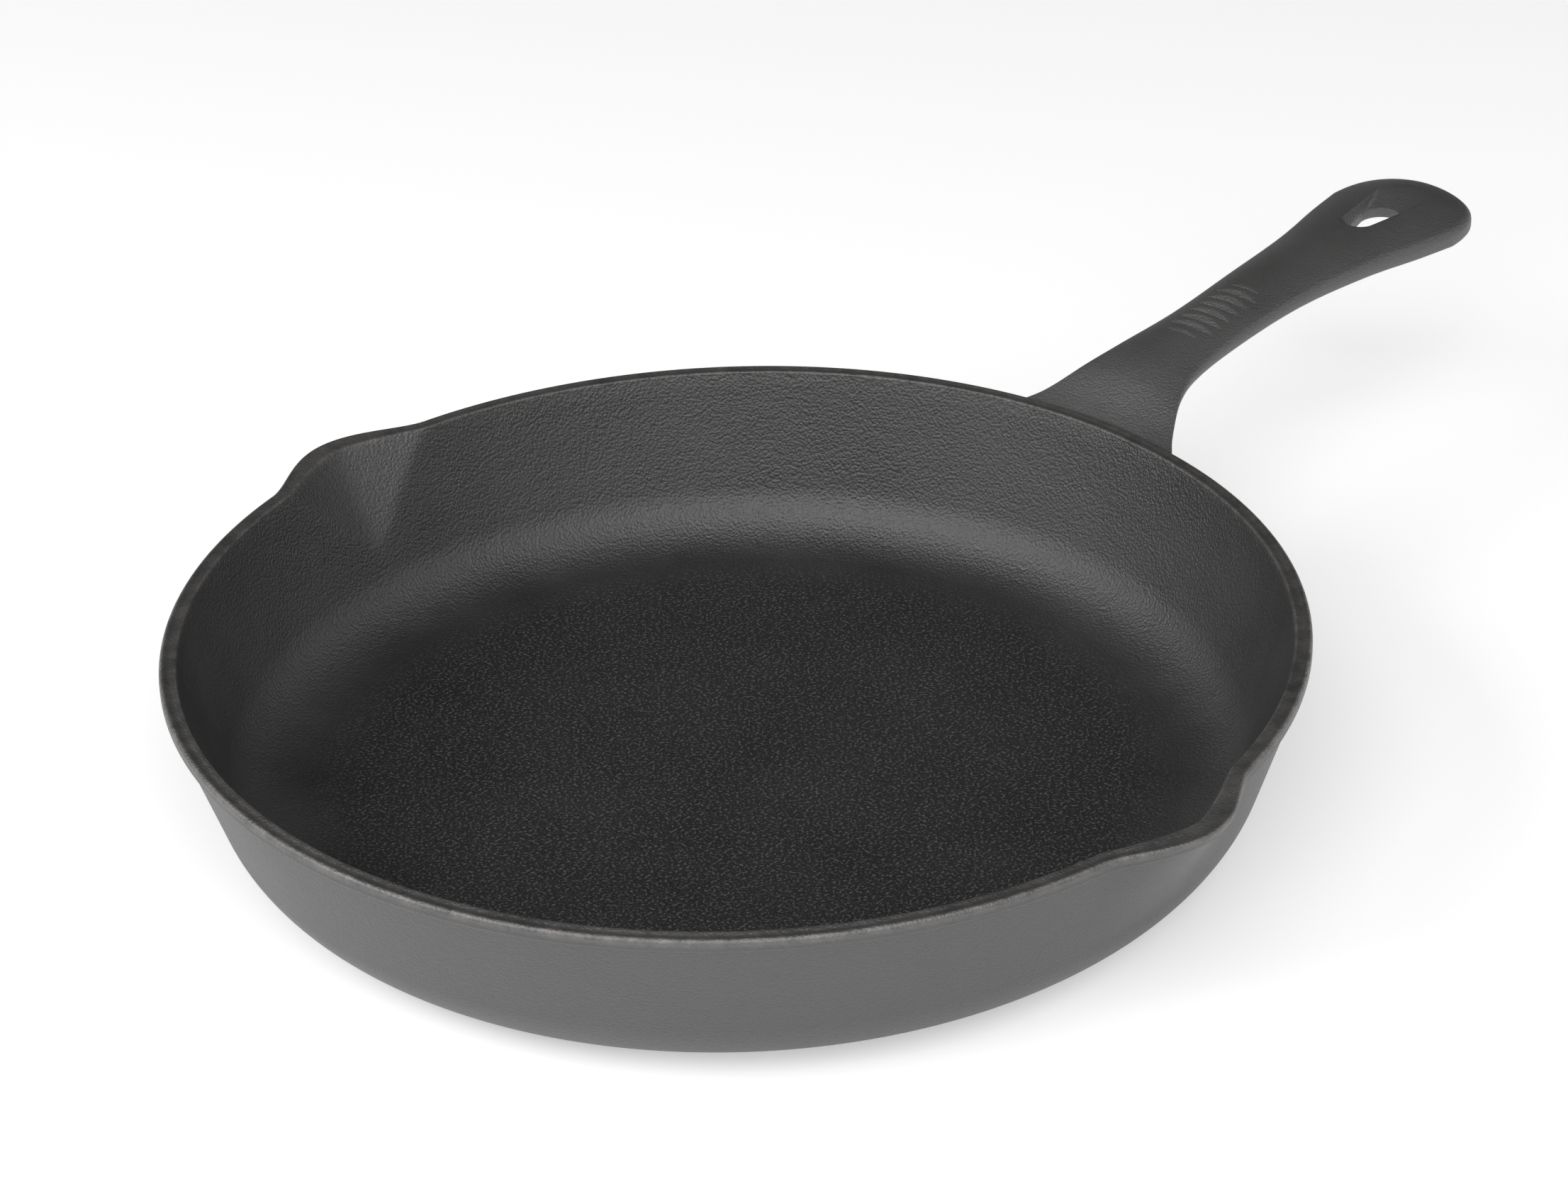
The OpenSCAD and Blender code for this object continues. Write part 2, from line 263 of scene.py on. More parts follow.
def half_w(x):
    c = end_shrink(x)
    return c * (NECK_W + (END_W - NECK_W) * curve(np.minimum(x, WIDE_X), 1)) / 2


def drop(x):
    return end_shrink(x) * curve(np.minimum(x, WIDE_X), 3) - SKIN


def edge_z(x):
    near = np.minimum(x, WIDE_X)
    return PAN_H + HANDLE_RISE * curve(near, 2) - curve(near, 3)


def band(x):
    return NECK_BAND + (END_BAND - NECK_BAND) * curve(np.minimum(x, WIDE_X), 4)


def belly(x):
    return end_shrink(x) * curve(np.minimum(x, WIDE_X), 5)


def swell(y, w):
    return np.clip(1 - (y / w) ** 2, 0, 1) ** 0.8


def top_z(x, y):
    return edge_z(x) + drop(x) * swell(y, half_w(x))


def under_z(x, y):
    return edge_z(x) - band(x) - belly(x) * swell(y, half_w(x))


DOME_N = 72
UNDER_N = 44
CORNER = np.linspace(0, 1, 5)
SIDE = np.linspace(0, 1, 4)[1:-1]


def corner_size(x):
    return np.minimum(1.6, 0.42 * band(x))


def bend(p, q, r, t):
    """A point at t on the quadratic curve from p to r that leans on q."""
    return (1 - t) ** 2 * p + 2 * t * (1 - t) * q + t**2 * r


def across(x, u):
    """y at share u of the way from the +Y corner to the -Y corner."""
    w = half_w(x)
    lean = np.arccos(np.clip(1 - corner_size(x) / w, -1, 1))
    return w * np.cos(lean + (np.pi - 2 * lean) * u)


def dome_row(x, u):
    y = across(x, u)
    return y, top_z(x, y)


def under_row(x, u):
    y = -across(x, u)
    return y, under_z(x, y)


def high_corner_row(x, sign, t):
    w, e, c = half_w(x), edge_z(x), corner_size(x)
    y = sign * (w - c)
    return bend(y, sign * w, sign * w, t), bend(top_z(x, y), e, e - c, t)


def side_row(x, sign, t):
    b, c = band(x), corner_size(x)
    return sign * half_w(x), edge_z(x) - c - (b - 2 * c) * t


def low_corner_row(x, sign, t):
    w, e, b, c = half_w(x), edge_z(x), band(x), corner_size(x)
    y = sign * (w - c)
    return bend(sign * w, sign * w, y, t), bend(e - b + c, e - b, under_z(x, y), t)


def row_list():
    """Every row of points round the handle: over the crown, down the -Y side, under, up the +Y side."""
    rows = [(dome_row, (u,)) for u in np.linspace(0, 1, DOME_N + 1)]
    rows += [(high_corner_row, (-1, t)) for t in CORNER[1:]]
    rows += [(side_row, (-1, t)) for t in SIDE]
    rows += [(low_corner_row, (-1, t)) for t in CORNER]
    rows += [(under_row, (u,)) for u in np.linspace(0, 1, UNDER_N + 1)[1:]]
    rows += [(low_corner_row, (1, t)) for t in CORNER[::-1][1:]]
    rows += [(side_row, (1, t)) for t in SIDE[::-1]]
    rows += [(high_corner_row, (1, t)) for t in CORNER[::-1][:-1]]
    return rows


ROWS = row_list()


def handle_grid(x):
    """Handle surface at stations x, (steps, 1) or (steps, one for each row)."""
    x = np.broadcast_to(x, (len(x), len(ROWS)))
    out = np.empty((len(x), len(ROWS), 3))
    for j, (row, share) in enumerate(ROWS):
        y, z = row(x[:, j], *share)
        out[:, j] = np.stack([x[:, j], y, z], 1)
    return out


# ---------------------------------------------------------------- meshes
def grid_faces(m, n, wrap_m=False, wrap_n=False):
    i, j = np.meshgrid(np.arange(m if wrap_m else m - 1), np.arange(n if wrap_n else n - 1),
                       indexing="ij")
    i2, j2 = (i + 1) % m, (j + 1) % n
    return np.stack([i * n + j2, i2 * n + j2, i2 * n + j, i * n + j], -1).reshape(-1, 4)


def make_mesh(name, points, faces, caps=()):
    mesh = bpy.data.meshes.new(name)
    verts = np.asarray(points, float).reshape(-1, 3) * METRE
    mesh.from_pydata(verts.tolist(), [], [list(map(int, f)) for f in faces] + [list(c) for c in caps])
    smooth = [True] * len(faces) + [False] * len(caps)
    mesh.polygons.foreach_set("use_smooth", smooth)
    mesh.update()
    mesh.set_sharp_from_angle(angle=math.radians(50))
    return mesh


def add_piece(name, mesh, node, material):
    obj = bpy.data.objects.new(name, mesh)
    bpy.context.scene.collection.objects.link(obj)
    obj.data.materials.append(material)
    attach(obj, "root")
    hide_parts(node)
    return obj


def sector(section, theta):
    """A closed solid: a section loop swept over angles, with a flat cap at each end."""
    points = pan_points(section, theta)
    m, n = points.shape[:2]
    faces = grid_faces(m, n, wrap_m=True)
    first = [k * n for k in range(m)]
    last = [k * n + n - 1 for k in range(m)][::-1]
    return points, faces, [first, last]


def rolled(d, size):
    """How far a fillet stands off a face at distance d from the other face."""
    size = np.maximum(size, 1e-6)
    return 0.5 * size * np.clip(1 - d / size, 0, 1) ** 2


def vertex_normals(points, faces):
    """Area-weighted normals of a grid's points."""
    p = points.reshape(-1, 3)
    a, b, c, d = (p[faces[:, k]] for k in range(4))
    n = np.cross(c - a, d - b)
    total = np.zeros_like(p)
    for k in range(4):
        np.add.at(total, faces[:, k], n)
    size = np.linalg.norm(total, axis=1, keepdims=True)
    return total / np.maximum(size, 1e-9)


def tree_of(points, faces):
    verts = [Vector(v) for v in points.reshape(-1, 3)]
    return BVHTree.FromPolygons(verts, [tuple(map(int, f)) for f in faces])


def fillet_against(points, faces, tree, size, near):
    """Pushes a face's points outward where they come close to another solid, as a casting fillet."""
    flat = points.reshape(-1, 3).copy()
    normals = vertex_normals(points, faces)
    for k in np.nonzero(near(flat))[0]:
        hit, other, _, dist = tree.find_nearest(Vector(flat[k]), FILLET_SEARCH)
        if hit is None:
            continue
        outside = (Vector(flat[k]) - hit).dot(other) > 0
        own = normals[k]
        turn = 1 - float(np.dot(own, other))
        width = size(flat[k], own, other) * min(turn, 1.15)
        flat[k] += own * rolled(dist if outside else 0.0, width)
    return flat.reshape(points.shape)


# ---------------------------------------------------------------- materials
# The floor's painted shade and painted glints, and its slightly rougher finish, give way to the
# smoother curve between these radii, in metres
FLOOR_EDGE = (0.094, 0.110)
IRON_IOR = 1.9


def socket(node, name, value):
    node.inputs[name].default_value = value


def noise(tree, vector, scale, detail=2.0, rough=0.5):
    node = tree.nodes.new("ShaderNodeTexNoise")
    socket(node, "Scale", scale)
    socket(node, "Detail", detail)
    socket(node, "Roughness", rough)
    tree.links.new(vector, node.inputs["Vector"])
    return node.outputs["Fac"]


def cells(tree, vector, scale):
    """Round grains: high in the middle of each cell."""
    node = tree.nodes.new("ShaderNodeTexVoronoi")
    socket(node, "Scale", scale)
    tree.links.new(vector, node.inputs["Vector"])
    return maths(tree, "SUBTRACT", 1.0, node.outputs["Distance"])


def ramp(tree, value, low, high, a, b):
    """Maps value from low..high to a..b, held at the ends."""
    node = tree.nodes.new("ShaderNodeMapRange")
    for name, v in (("From Min", low), ("From Max", high), ("To Min", a), ("To Max", b)):
        socket(node, name, v)
    tree.links.new(value, node.inputs["Value"])
    return node.outputs["Result"]


def maths(tree, kind, a, b):
    node = tree.nodes.new("ShaderNodeMath")
    node.operation = kind
    for k, v in enumerate((a, b)):
        if isinstance(v, (int, float)):
            node.inputs[k].default_value = v
        else:
            tree.links.new(v, node.inputs[k])
    return node.outputs[0]


def blend_colour(tree, share, a, b):
    node = tree.nodes.new("ShaderNodeMix")
    node.data_type = "RGBA"
    tree.links.new(share, node.inputs["Factor"])
    for name, v in (("A", a), ("B", b)):
        place = [s for s in node.inputs if s.name == name and s.type == "RGBA"][0]
        if isinstance(v, tuple):
            place.default_value = v
        else:
            tree.links.new(v, place)
    return [s for s in node.outputs if s.type == "RGBA"][0]


def bump(tree, height, distance, strength, before=None):
    node = tree.nodes.new("ShaderNodeBump")
    socket(node, "Distance", distance)
    socket(node, "Strength", strength)
    tree.links.new(height, node.inputs["Height"])
    if before is not None:
        tree.links.new(before, node.inputs["Normal"])
    return node.outputs["Normal"]


def grey(v, warm=0.0):
    return (v * (1 + warm), v, v * (1 - warm), 1)


def from_axis(tree, coords):
    """Distance from the pan's axis, in metres."""
    flat = tree.nodes.new("ShaderNodeVectorMath")
    flat.operation = "MULTIPLY"
    flat.inputs[1].default_value = (1, 1, 0)
    tree.links.new(coords, flat.inputs[0])
    size = tree.nodes.new("ShaderNodeVectorMath")
    size.operation = "LENGTH"
    tree.links.new(flat.outputs["Vector"], size.inputs[0])
    return size.outputs["Value"]


def iron_colour(tree, coords, pits, clouds, dark, light):
    """Cloudy tone, a brown tinge in patches and paler specks in the grain that are painted glints."""
    patches = noise(tree, coords, 9.0, 3.0, 0.5)
    cloudy = ramp(tree, clouds, 0.35, 0.68, 0.0, 1.0)
    tone = blend_colour(tree, cloudy, grey(dark), grey(light, 0.02))
    tinge = ramp(tree, patches, 0.55, 0.75, 0.0, 0.35)
    brown = blend_colour(tree, tinge, tone, grey(light * 0.95, 0.06))
    # Painted glints: pale specks where the pits noise is high.
    glint_specks = ramp(tree, pits, 0.60, 0.75, 0.0, 0.5)
    return blend_colour(tree, glint_specks, brown, grey(light * 1.8))


def worn_and_highlit_colour(tree, coords, colour, light, wear_and_highlight_share):
    """Rubbed, paler metal where the wear attribute is high."""
    edge = tree.nodes.new("ShaderNodeAttribute")
    edge.attribute_name = "wear_and_highlight"
    patchy_wear_and_highlight = ramp(tree, noise(tree, coords, 210.0, 4.0, 0.7), 0.35, 0.7, 0.25, 1.0)
    # Paler colour where the rim's attribute is high: partly rubbed metal, partly painted highlight.
    share = maths(tree, "MULTIPLY", maths(tree, "MULTIPLY", edge.outputs["Fac"], patchy_wear_and_highlight), wear_and_highlight_share)
    return blend_colour(tree, share, colour, grey(light * 6.0, 0.05))


def cast_iron(name, dark, light, grain, depth, rough_low, rough_high, wear_and_highlight_share=0.0, floor=False):
    """Seasoned cast iron: pebbled grain, cloudy tone, a brown tinge, and, where its share is set, paler
    metal that is partly wear and partly painted highlight.
    Inside the curve up to the wall the cooking floor gets painted shade, near black, with bright specks
    that are painted glints."""
    mat = bpy.data.materials.new(name)
    mat.use_nodes = True
    tree = mat.node_tree
    shader = tree.nodes["Principled BSDF"]
    coords = tree.nodes.new("ShaderNodeTexCoord").outputs["Object"]
    grains = maths(tree, "ADD", cells(tree, coords, grain), noise(tree, coords, grain, 3.0, 0.6))
    pebbles = maths(tree, "MULTIPLY", grains, 0.6)
    pits = noise(tree, coords, grain * 2.3, 2.0, 0.5)
    clouds = noise(tree, coords, 26.0, 5.0, 0.55)
    waves = noise(tree, coords, 120.0, 2.0, 0.5)
    colour = iron_colour(tree, coords, pits, clouds, dark, light)
    height = maths(tree, "ADD", pebbles, maths(tree, "MULTIPLY", pits, 0.45))
    gloss = ramp(tree, maths(tree, "ADD", clouds, maths(tree, "MULTIPLY", pits, 0.5)),
                 0.5, 1.0, rough_low, rough_high)
    if floor:
        edge = ramp(tree, from_axis(tree, coords), FLOOR_EDGE[0], FLOOR_EDGE[1], 0.0, 1.0)
        # Painted shade and glints: the flat floor is made near black for the shade the walls cast into
        # the pan, with bright specks as painted glints.
        glints = ramp(tree, noise(tree, coords, grain, 1.0, 0.5), 0.54, 0.66, 0.0, 1.0)
        shaded_floor_with_glints = blend_colour(tree, glints, grey(dark * 0.15), grey(light * 2.6))
        colour = blend_colour(tree, edge, shaded_floor_with_glints, colour)
        gloss = maths(tree, "ADD", gloss, ramp(tree, edge, 0.0, 1.0, 0.04, 0.0))
    if wear_and_highlight_share > 0:
        colour = worn_and_highlit_colour(tree, coords, colour, light, wear_and_highlight_share)
    tree.links.new(colour, shader.inputs["Base Color"])
    tree.links.new(gloss, shader.inputs["Roughness"])
    surface = bump(tree, waves, 0.0006, 0.25)
    surface = bump(tree, height, depth, 1.0, surface)
    tree.links.new(surface, shader.inputs["Normal"])
    socket(shader, "Metallic", 0.0)
    socket(shader, "IOR", IRON_IOR)
    return mat


# ---------------------------------------------------------------- pieces of the pan
def floor_section():
    low = arc(FLAT_R, FOOT_ROUND, FOOT_ROUND, -90, -FLARE_DEG, 48)
    high = arc(FILLET_X, FLOOR_T + FILLET_R, FILLET_R, -FLARE_DEG, -90, 48)
    flat = line((20, 0), (FLAT_R, 0), 10)[:-1]
    top = line(high[-1], (4, FLOOR_T), 24)[1:]
    under = np.vstack([flat, low, [[outer_r(FILLET_TOP), FILLET_TOP]]])
    return np.vstack([tagged(under, 0.0), tagged(np.vstack([high, top]), 1.0)])


def build_floor(mat):
    theta = angles(HANDLE_SIDE[0], RIGHT_SPOUT[1])[:-1]
    points = pan_points(floor_section(), theta)
    m, n = points.shape[:2]
    faces = grid_faces(m, n, wrap_n=True)
    middle = np.array([[0, 0, 0], [0, 0, FLOOR_T]])
    verts = np.vstack([points.reshape(-1, 3), middle])
    low = [(m * n, (j + 1) % n, j) for j in range(n)]
    high = [(m * n + 1, (m - 1) * n + j, (m - 1) * n + (j + 1) % n) for j in range(n)]
    mesh = make_mesh("cooking_floor", verts, [list(f) for f in faces] + low + high)
    return add_piece("cooking_floor_iron", mesh, "cooking_floor", mat)


def rim_wear_and_highlight(section):
    """How pale each row of a section is made, partly for wear and partly as painted highlight: most on
    the lip's outer edge, less on the inner line, a little over the land.
    """
    r, z = section[:, 0], section[:, 1]
    outer = np.exp(-((r - (RIM_R - 0.4)) / 0.5) ** 2) * (z > PAN_H - 1.6)
    inner = 0.6 * np.exp(-((r - (RIM_IN + 0.4)) / 0.5) ** 2) * (z > PAN_H - 0.8)
    land = 0.3 * np.clip((z - (PAN_H - 1.3)) / 0.6, 0, 1)
    return np.maximum(np.maximum(outer, inner), land)


def sector_piece(name, node, mat, section, span, dress=None):
    theta = angles(*span)
    points, faces, caps = sector(section, theta)
    if dress is not None:
        points = dress(points, faces)
    mesh = make_mesh(name, points, faces, caps)
    # Paler metal on the rim, partly wear and partly painted highlight.
    layer = mesh.attributes.new("wear_and_highlight", "FLOAT", "POINT")
    layer.data.foreach_set("value", np.repeat(rim_wear_and_highlight(section), len(theta)).astype(np.float32))
    return add_piece(name, mesh, node, mat)


def wall_section():
    return np.vstack([wall_outer(), wall_inner()])


def rim_section():
    return np.vstack([rim_outer(), rim_land(), rim_inner()])


def spout_section():
    return np.vstack([wall_outer(), rim_outer()[1:], rim_land(), rim_inner(), wall_inner()[1:]])


# ---------------------------------------------------------------- pieces of the handle
def pan_limit(z):
    """Radius just inside the pan's outer face, where the root ends out of sight."""
    return np.where(z < RIM_Z, outer_r(np.minimum(z, RIM_Z)) - 1.6, RIM_R - 2.6)


def root_stations(steps=64):
    """For each column round the root, stations from just inside the pan's wall to the neck."""
    lo = np.full(len(ROWS), START_X)
    hi = np.full(len(ROWS), 146.0)
    for _ in range(30):
        mid = (lo + hi) / 2
        p = handle_grid(mid[None])[0]
        inside = np.hypot(p[:, 0], p[:, 1]) < pan_limit(p[:, 2])
        lo = np.where(inside, mid, lo)
        hi = np.where(inside, hi, mid)
    u = np.linspace(0, 1, steps + 1)[:, None]
    return hi[None] + (ROOT_X - hi[None]) * u


def tube(points):
    """Faces and end caps of a closed tube of rings."""
    m, n = points.shape[:2]
    first = list(range(n))[::-1]
    last = [(m - 1) * n + j for j in range(n)]
    return grid_faces(m, n, wrap_n=True), [first, last]


def groove_floor(x):
    """Height of the grooves' straight bottoms below the crown line at x: steep towards the pan,
    easy towards the tip."""
    best = np.full(np.shape(x), 9.0)
    for k in range(GROOVE_COUNT):
        is_end = k in (0, GROOVE_COUNT - 1)
        depth = GROOVE_DEPTH * (END_GROOVE_SHARE if is_end else 1.0)
        u = x - (GROOVE_FIRST + k * GROOVE_PITCH)
        rise = np.where(u < 0, -GROOVE_STEEP * u, GROOVE_EASE * u)
        best = np.minimum(best, rise - depth)
    return best


def soft_min(a, b, k):
    h = np.clip(k - np.abs(a - b), 0, None) / k
    return np.minimum(a, b) - h * h * k / 4


def carve_grooves(points):
    """Lowers the crown of the grip into its thumb grooves."""
    top = points[:, :DOME_N + 1]
    crown = top_z(top[..., 0], 0 * top[..., 0])
    floor = crown + groove_floor(top[..., 0])
    top[..., 2] = soft_min(top[..., 2], floor, 0.2)
    return points


def grip_stations():
    """Stations along the grip, close together where the grooves are."""
    near, far = 169, 207
    neck = np.linspace(ROOT_X, near, 7)[:-1]
    grooved = np.linspace(near, far, 200)[:-1]
    shank = np.linspace(far, EYE_X0, 40)
    return np.concatenate([neck, grooved, shank])[:, None]


def build_root(mat, points, pan_tree):
    faces, caps = tube(points)

    def size(p, own, other):
        return TOP_FILLET if own[2] > 0.5 else SIDE_FILLET

    def near(p):
        return p[:, 0] < 152

    points = fillet_against(points, faces, pan_tree, size, near)
    mesh = make_mesh("handle_root", points, faces, caps)
    return add_piece("handle_root_iron", mesh, "handle_root", mat)


def build_grip(mat):
    points = carve_grooves(handle_grid(grip_stations()))
    faces, caps = tube(points)
    mesh = make_mesh("handle_grip", points, faces, caps)
    return add_piece("handle_grip_iron", mesh, "handle_grip", mat)


def lean(h):
    return math.asin((h[1] - h[2]) / h[3])


def narrow_at(h, turn):
    a = math.pi + turn * (math.pi / 2 - lean(h))
    return np.array([h[0] - h[3] + h[2] * math.cos(a), h[2] * math.sin(a), math.cos(a), math.sin(a)])


def wide_at(h, turn):
    a = turn * (math.pi / 2 + lean(h))
    return np.array([h[0] + h[1] * math.cos(a), h[1] * math.sin(a), math.cos(a), math.sin(a)])


def flank_at(h, share):
    return narrow_at(h, 1) * (1 - share) + wide_at(h, -1) * share


def eye_places():
    """(place on the hole, place on the mouth, place on the outline, on the cut) round the -Y half:
    the cut face, the side, the tip and the flat at the very end."""
    places = []
    for t in np.linspace(0, 1, DOME_N // 2 + 1)[:-1]:
        out = (EYE_X0, across(EYE_X0, 0.5 + t / 2))
        places.append((narrow_at(HOLE, t), narrow_at(MOUTH, t), out, True))
    for t in np.linspace(0, 1, FLANK_STEPS):
        x = EYE_X0 + (WIDE_X - EYE_X0) * t
        places.append((flank_at(HOLE, t), flank_at(MOUTH, t), (x, -half_w(x)), False))
    for t in np.linspace(0, 1, TIP_STEPS)[1:]:
        x = WIDE_X + (TIP_X - WIDE_X) * math.sin(math.pi / 2 * t)
        turn = -1 + (1 - TURN_LEFT) * t
        places.append((wide_at(HOLE, turn), wide_at(MOUTH, turn), (x, -half_w(x)), False))
    for t in np.linspace(1, 0, END_STEPS)[1:]:
        turn = -TURN_LEFT * t
        end = (TIP_X, -t * half_w(TIP_X))
        places.append((wide_at(HOLE, turn), wide_at(MOUTH, turn), end, False))
    return places


def build_eye(mat):
    half = np.array([eye_column(*place) for place in eye_places()])
    mirrored = half[::-1][1:-1] * np.array([1, -1, 1])
    points = soften_mouth(np.vstack([half, mirrored]))
    faces = grid_faces(*points.shape[:2], wrap_m=True, wrap_n=True)
    mesh = make_mesh("handle_eye", points, faces)
    return add_piece("handle_eye_iron", mesh, "handle_eye", mat)


def soften_mouth(points):
    """Evens out the heights round the rolled mouth, column to column, as a casting does."""
    rows = slice(WALL_ROWS + 1, WALL_ROWS + ROLL_ROWS)
    for _ in range(SOFTEN_PASSES):
        z = points[:, rows, 2]
        points[:, rows, 2] = (np.roll(z, 1, 0) + 2 * z + np.roll(z, -1, 0)) / 4
    return points


def on_top(x, y):
    return float(top_z(np.float64(x), np.float64(y)))


def on_under(x, y):
    return float(under_z(np.float64(x), np.float64(y)))


def hole_rows(hole, mouth):
    """Up through the hole, rounded below, then over the long roll of the mouth."""
    x0, y0, dx, dy = hole
    rows = []
    for a in np.radians(np.linspace(90, 0, WALL_ROWS - 4)):
        m = UNDER_ROUND * (1 - math.cos(a))
        x, y = x0 + dx * m, y0 + dy * m
        rows.append((x, y, on_under(x, y) + UNDER_ROUND * (1 - math.sin(a))))
    low = rows[-1][2]
    high = on_top(x0, y0) - ROLL_DOWN
    rows += [(x0, y0, low + (high - low) * t) for t in np.linspace(0, 1, 5)[1:]]
    for share in np.linspace(0, 1, ROLL_ROWS + 1)[1:]:
        x, y = x0 + (mouth[0] - x0) * share, y0 + (mouth[1] - y0) * share
        rows.append((x, y, on_top(x, y) - ROLL_DOWN * (1 - share) ** ROLL_POWER))
    return rows


def cut_rows(ox, oy):
    high, low = on_top(ox, oy), on_under(ox, oy)
    count = len(CORNER) - 1 + len(SIDE) + len(CORNER)
    return [(ox, oy, high + (low - high) * t) for t in np.linspace(0, 1, count + 1)[1:]]


def side_rows(ex, ey, ox, oy, size):
    """Round the upper corner, down the side band and round the lower corner."""
    e = float(edge_z(np.float64(ox)))
    b = float(band(np.float64(ox)))
    high, low = on_top(ex, ey), on_under(ex, ey)
    rows = []
    for t in CORNER[1:]:
        rows.append((bend(ex, ox, ox, t), bend(ey, oy, oy, t), bend(high, e, e - size, t)))
    for t in SIDE:
        rows.append((ox, oy, e - size - (b - 2 * size) * t))
    for t in CORNER:
        rows.append((bend(ox, ox, ex, t), bend(oy, oy, ey, t), bend(e - b + size, e - b, low, t)))
    return rows


def eye_column(hole, mouth, out, is_cut):
    """One ring round the wall of the eye: up through the hole, over the mouth, out to the edge,
    down the side and back underneath."""
    ox, oy = (float(v) for v in out)
    size = float(corner_size(np.float64(ox)))
    ex, ey = ox, oy
    if not is_cut:
        nx, ny = edge_normal(ox, oy)
        ex, ey = ox - nx * size, oy + ny * size
    rows = hole_rows(hole, mouth)
    first = rows[0]
    mx, my = rows[-1][:2]
    for t in np.linspace(0, 1, 16)[1:]:
        x, y = mx + (ex - mx) * t, my + (ey - my) * t
        rows.append((x, y, on_top(x, y)))
    rows += cut_rows(ox, oy) if is_cut else side_rows(ex, ey, ox, oy, size)
    low = rows[-1]
    for t in np.linspace(0, 1, 13)[1:-1]:
        x, y = low[0] + (first[0] - low[0]) * t, low[1] + (first[1] - low[1]) * t
        rows.append((x, y, on_under(x, y)))
    return rows


def edge_normal(x, y):
    """Outward direction (x, and how much towards the middle) of the plan outline at a place."""
    corner = float(half_w(np.float64(TIP_X)))
    if x >= TIP_X - 1e-6 and abs(y) < corner - 1e-6:
        return 1.0, 0.0
    h = 0.05
    ahead = min(x + h, TIP_X)
    slope = float((half_w(np.float64(ahead)) - half_w(np.float64(x - h))) / (ahead - x + h))
    slope *= min(1.0, (x - EYE_X0) / 3)
    size = math.hypot(slope, 1)
    return -slope / size, 1 / size


# ---------------------------------------------------------------- assembly
floor_mat = cast_iron("floor_iron", 0.016, 0.028, 1300.0, 0.00028, 0.40, 0.52, floor=True)
wall_mat = cast_iron("wall_iron", 0.016, 0.030, 1300.0, 0.00028, 0.40, 0.52)
# Rim and spouts: paler metal on the lip, partly wear and partly painted highlight.
rim_mat = cast_iron("rim_iron", 0.016, 0.030, 1300.0, 0.00022, 0.38, 0.50, wear_and_highlight_share=0.9)
spout_mat = cast_iron("spout_iron", 0.016, 0.030, 1300.0, 0.00026, 0.40, 0.52, wear_and_highlight_share=0.9)
# The handle's iron has a paler base colour than the pan's: painted light, the same iron shown as if
# more lit.
handle_lit_mat = cast_iron("handle_iron", 0.054, 0.074, 1500.0, 0.00022, 0.42, 0.54)

root_points = handle_grid(root_stations())
root_tree = tree_of(root_points, tube(root_points)[0])
near_points, near_faces, _ = sector(spout_section(), angles(*HANDLE_SIDE))
pan_tree = tree_of(near_points, near_faces)


def dress_near_root(points, faces):
    """Rolls the pan's outer face into the root."""
    def size(p, own, other):
        return TOP_FILLET if other[2] > 0.5 else SIDE_FILLET

    def near(p):
        beside = (p[:, 0] > 120) & (np.abs(p[:, 1]) < 52)
        return beside & (np.hypot(p[:, 0], p[:, 1]) > outer_r(p[:, 2]) - 0.5)

    return fillet_against(points, faces, root_tree, size, near)


build_floor(floor_mat)
sector_piece("handle_side_wall_iron", "handle_side_wall", wall_mat,
             wall_section(), HANDLE_SIDE, dress_near_root)
sector_piece("far_side_wall_iron", "far_side_wall", wall_mat, wall_section(), FAR_SIDE)
sector_piece("handle_side_rim_iron", "handle_side_rim", rim_mat,
             rim_section(), HANDLE_SIDE, dress_near_root)
sector_piece("far_side_rim_iron", "far_side_rim", rim_mat, rim_section(), FAR_SIDE)
sector_piece("left_spout_iron", "left_spout", spout_mat, spout_section(), LEFT_SPOUT)
sector_piece("right_spout_iron", "right_spout", spout_mat, spout_section(), RIGHT_SPOUT)
build_root(handle_lit_mat, root_points, pan_tree)
build_grip(handle_lit_mat)
build_eye(handle_lit_mat)


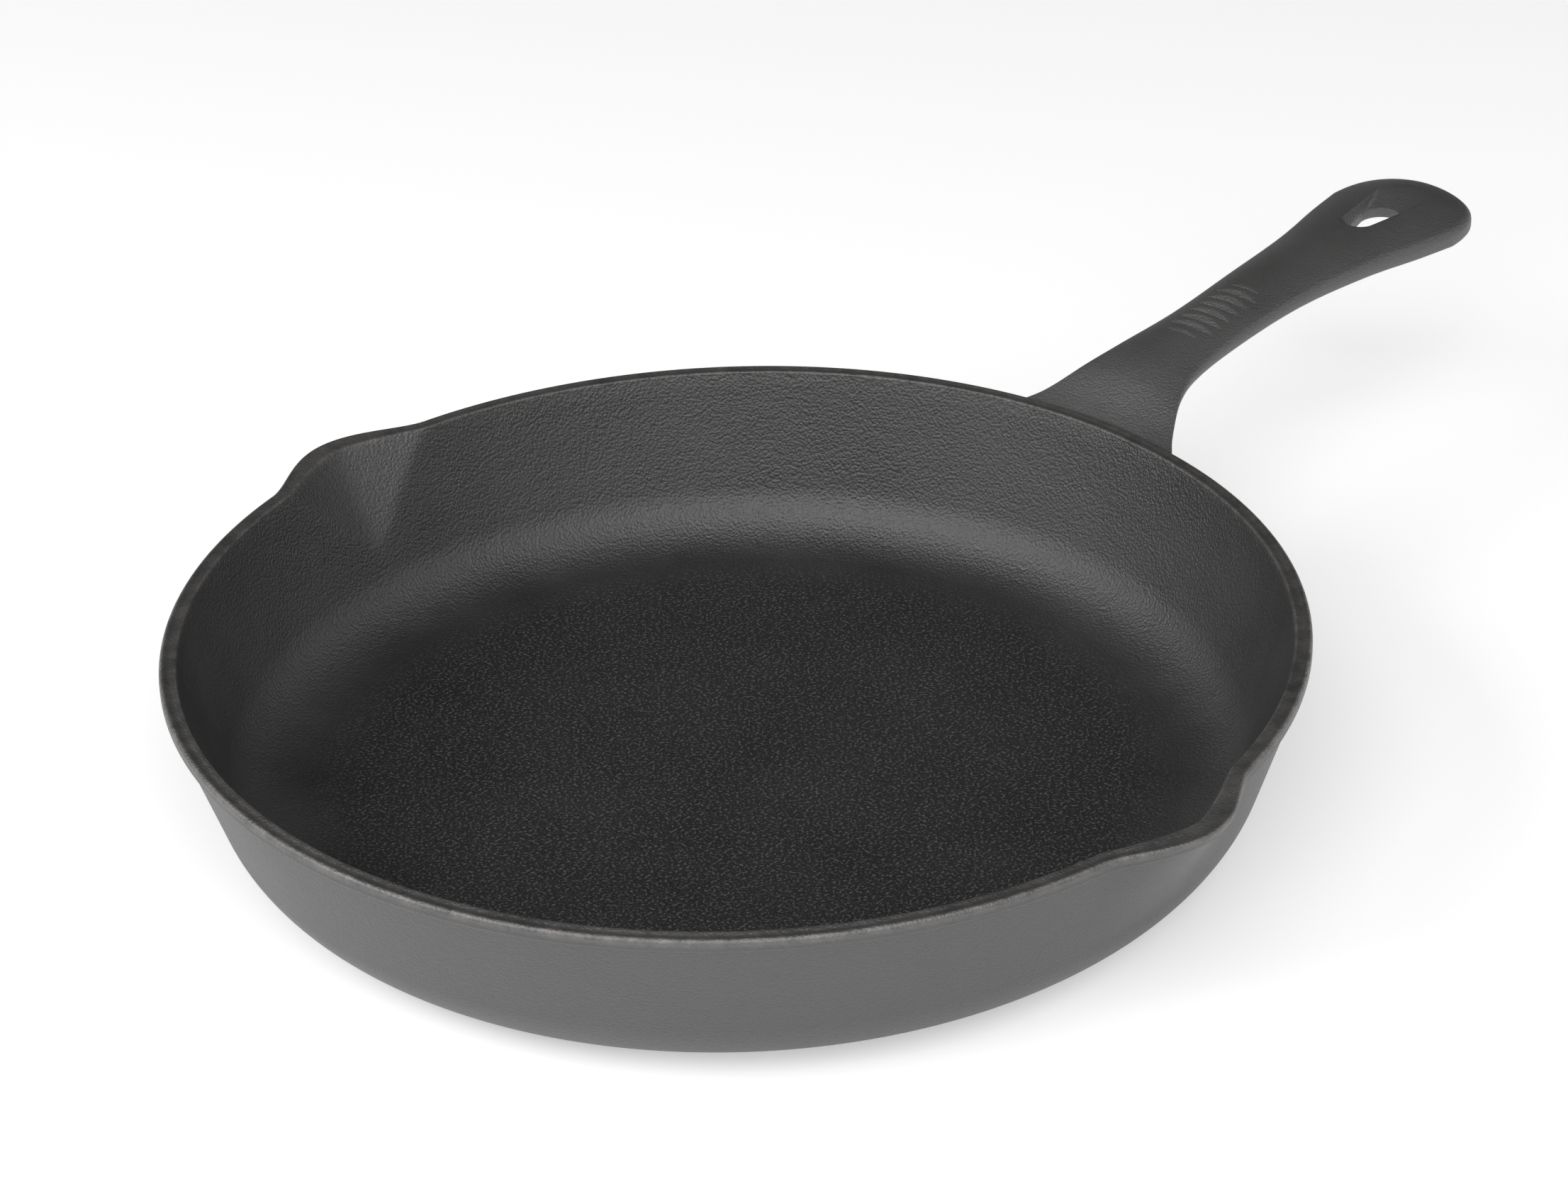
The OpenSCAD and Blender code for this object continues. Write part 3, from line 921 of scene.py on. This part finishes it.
# ---------------------------------------------------------------- studio
def build_camera():
    """The view from the handle's far side: shifts and distance are in rim radii."""
    elevation = 0.513236
    azimuth = math.radians(46.8062)
    roll = -0.032687
    shift_right = -0.084922
    shift_up = -0.051075
    away = 8.629835
    scale = RIM_R * METRE
    c, s = math.cos(azimuth), math.sin(azimuth)

    def turned(v):
        return Vector((v[0] * c + v[1] * s, -v[0] * s + v[1] * c, v[2]))

    forward = turned((0, math.cos(elevation), -math.sin(elevation)))
    up = turned((0, math.sin(elevation), math.cos(elevation)))
    right = turned((1, 0, 0))
    across_view = right * math.cos(roll) + up * math.sin(roll)
    up_view = right * -math.sin(roll) + up * math.cos(roll)
    rim_centre = Vector((0, 0, PAN_H * METRE))
    place = rim_centre - (across_view * shift_right + up_view * shift_up + forward * away) * scale
    cam = bpy.data.cameras.new("camera")
    cam.sensor_width = 36.0
    cam.lens = 113.924
    cam.clip_start = 0.05
    cam.clip_end = 20.0
    obj = bpy.data.objects.new("camera", cam)
    bpy.context.scene.collection.objects.link(obj)
    turn = Matrix((across_view, up_view, -forward)).transposed().to_4x4()
    obj.matrix_world = Matrix.Translation(place) @ turn
    bpy.context.scene.camera = obj


def area_light(name, place, aim, width, height, power):
    data = bpy.data.lights.new(name, "AREA")
    data.shape = "RECTANGLE"
    data.size = width
    data.size_y = height
    data.energy = power
    obj = bpy.data.objects.new(name, data)
    bpy.context.scene.collection.objects.link(obj)
    obj.location = place
    obj.rotation_euler = (Vector(aim) - Vector(place)).to_track_quat("-Z", "Y").to_euler()


def build_floor_plane():
    mesh = bpy.data.meshes.new("studio_floor")
    half = 6.0
    corners = [(-half, -half, 0), (half, -half, 0), (half, half, 0), (-half, half, 0)]
    mesh.from_pydata(corners, [], [(0, 1, 2, 3)])
    obj = bpy.data.objects.new("studio_floor", mesh)
    bpy.context.scene.collection.objects.link(obj)
    mat = bpy.data.materials.new("studio_floor")
    mat.use_nodes = True
    shader = mat.node_tree.nodes["Principled BSDF"]
    socket(shader, "Base Color", (0.86, 0.86, 0.86, 1))
    socket(shader, "Roughness", 0.9)
    socket(shader, "Specular IOR Level", 0.1)
    socket(shader, "Emission Color", (1, 1, 1, 1))
    socket(shader, "Emission Strength", 0.42)
    mesh.materials.append(mat)


def build_world(strength):
    world = bpy.data.worlds.new("studio")
    bpy.context.scene.world = world
    world.use_nodes = True
    back = world.node_tree.nodes["Background"]
    socket(back, "Color", (1, 1, 1, 1))
    socket(back, "Strength", strength)


build_camera()
build_floor_plane()
build_world(0.05)
area_light("key", (-1.2, 0.9, 1.0), (0, 0, 0), 1.6, 0.8, 17)
area_light("overhead", (-0.6, -0.56, 1.05), (0, 0, 0), 1.5, 1.3, 14)
area_light("right", (1.1, -1.0, 0.7), (0, 0, 0), 1.4, 0.6, 4)
area_light("front", (-0.9, -1.5, 0.7), (0.05, 0, 0), 1.8, 0.7, 3)
bpy.context.scene.view_settings.view_transform = "Standard"
